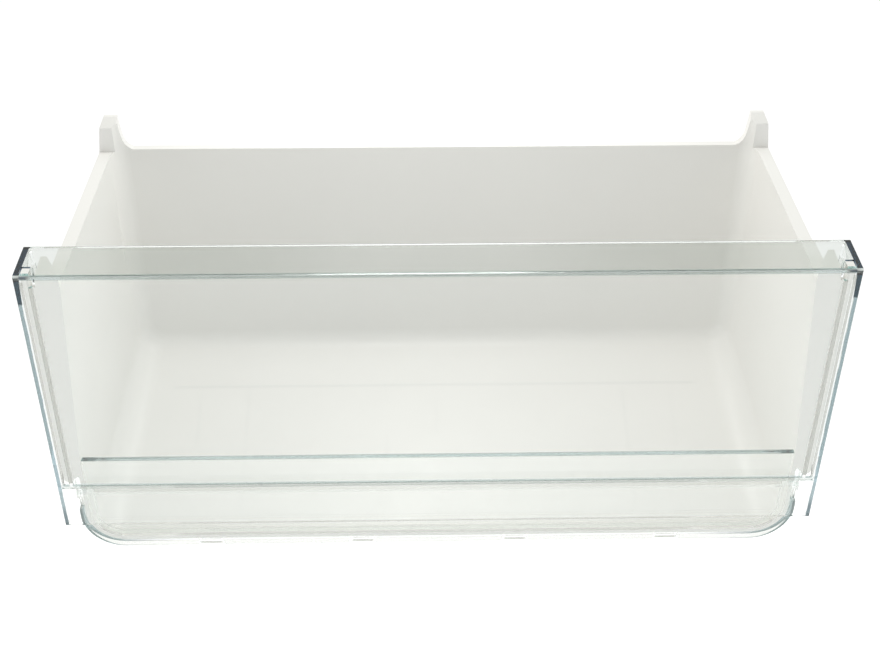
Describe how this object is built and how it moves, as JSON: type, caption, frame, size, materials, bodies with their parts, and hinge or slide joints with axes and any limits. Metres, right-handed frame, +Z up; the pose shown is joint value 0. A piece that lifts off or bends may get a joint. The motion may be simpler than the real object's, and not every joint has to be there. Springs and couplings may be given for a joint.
{
  "type": "fridge drawer organizer",
  "caption": "White U-section refrigerator drawer with a sloping floor, rear ears and a clear slide-on fascia with a ledge handle and a clear front frame.",
  "frame": {"origin": "middle of the overall box, on the surface the drawer stands on", "axes": "+X to the right seen from the front, +Y from the fascia to the back of the drawer, +Z up"},
  "size_m": [0.46, 0.1596, 0.2195],
  "materials": {
    "white_plastic": "satin, fine moulded grain",
    "clear_fascia": "clear and polished, teal at the edges",
    "clear_frame": "clear and polished, teal at the edges"
  },
  "bodies": {
    "root": {"tub": "white_plastic", "front_frame": "clear_frame", "fascia": "clear_fascia"}
  },
  "joints": []
}
